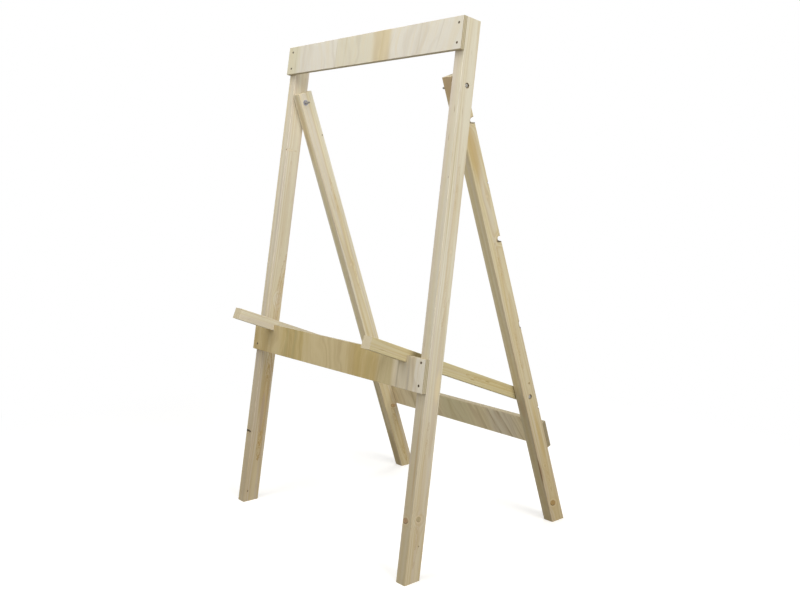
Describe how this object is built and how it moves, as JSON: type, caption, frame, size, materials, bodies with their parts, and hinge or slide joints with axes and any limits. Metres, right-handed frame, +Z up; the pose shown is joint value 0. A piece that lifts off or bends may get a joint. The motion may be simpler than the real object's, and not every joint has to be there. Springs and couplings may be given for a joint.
{
  "type": "target stand",
  "caption": "Folding wooden stand for an archery target butt: hinged front and rear frames and notched arms that carry the butt.",
  "frame": {"origin": "on the floor under the centre of the standing stand's overall box", "axes": "+Z up; -Y is the front, where the butt stands; +X is on the right as seen from the front"},
  "size_m": [1.055, 1.0316, 1.9402],
  "materials": {
    "timber": "planed softwood, untreated, matt",
    "board": "softwood panel with its grain upright, untreated, matt",
    "bolt_steel": "zinc plated, dull",
    "washer_steel": "zinc plated, bluish, dull",
    "screw_steel": "dark plated, dull"
  },
  "bodies": {
    "front_frame": {"post_left": "timber", "post_right": "timber", "top_board": "board", "front_board": "board", "top_board_screw_1": "screw_steel", "top_board_screw_2": "screw_steel", "top_board_screw_3": "screw_steel", "top_board_screw_4": "screw_steel", "front_board_screw_1": "screw_steel", "front_board_screw_2": "screw_steel", "front_board_screw_3": "screw_steel", "front_board_screw_4": "screw_steel", "hinge_bolt_left": "bolt_steel", "hinge_bolt_right": "bolt_steel", "hinge_spacer_left": "washer_steel", "hinge_spacer_right": "washer_steel", "hinge_washer_left": "washer_steel", "hinge_washer_right": "washer_steel", "hinge_nut_left": "bolt_steel", "hinge_nut_right": "bolt_steel"},
    "rear_frame": {"rear_leg_left": "timber", "rear_leg_right": "timber", "rear_board": "board", "rear_board_screw_1": "screw_steel", "rear_board_screw_2": "screw_steel", "rear_board_screw_3": "screw_steel", "rear_board_screw_4": "screw_steel", "arm_bolt_left": "bolt_steel", "arm_bolt_right": "bolt_steel", "arm_spacer_left": "washer_steel", "arm_spacer_right": "washer_steel", "arm_washer_left": "washer_steel", "arm_washer_right": "washer_steel", "arm_nut_left": "bolt_steel", "arm_nut_right": "bolt_steel"},
    "left_arm": {"arm_left": "timber"},
    "right_arm": {"arm_right": "timber"}
  },
  "joints": [
    {"name": "rear_frame_fold", "type": "hinge", "parent": "front_frame", "child": "rear_frame", "pos_m": [0, -0.18161, 1.69788], "axis": [-1, 0, 0], "range_deg": [0, 27.4]},
    {"name": "arm_left_lift", "type": "hinge", "parent": "rear_frame", "child": "left_arm", "pos_m": [-0.4115, 0.27512, 0.53425], "axis": [-1, 0, 0], "range_deg": [0, 49.55]},
    {"name": "arm_right_lift", "type": "hinge", "parent": "rear_frame", "child": "right_arm", "pos_m": [0.4115, 0.27512, 0.53425], "axis": [-1, 0, 0], "range_deg": [0, 49.55]}
  ],
  "couplings": [
    {"joint": "arm_left_lift", "follows": "rear_frame_fold", "ratio": 1.808},
    {"joint": "arm_right_lift", "follows": "rear_frame_fold", "ratio": 1.808}
  ]
}
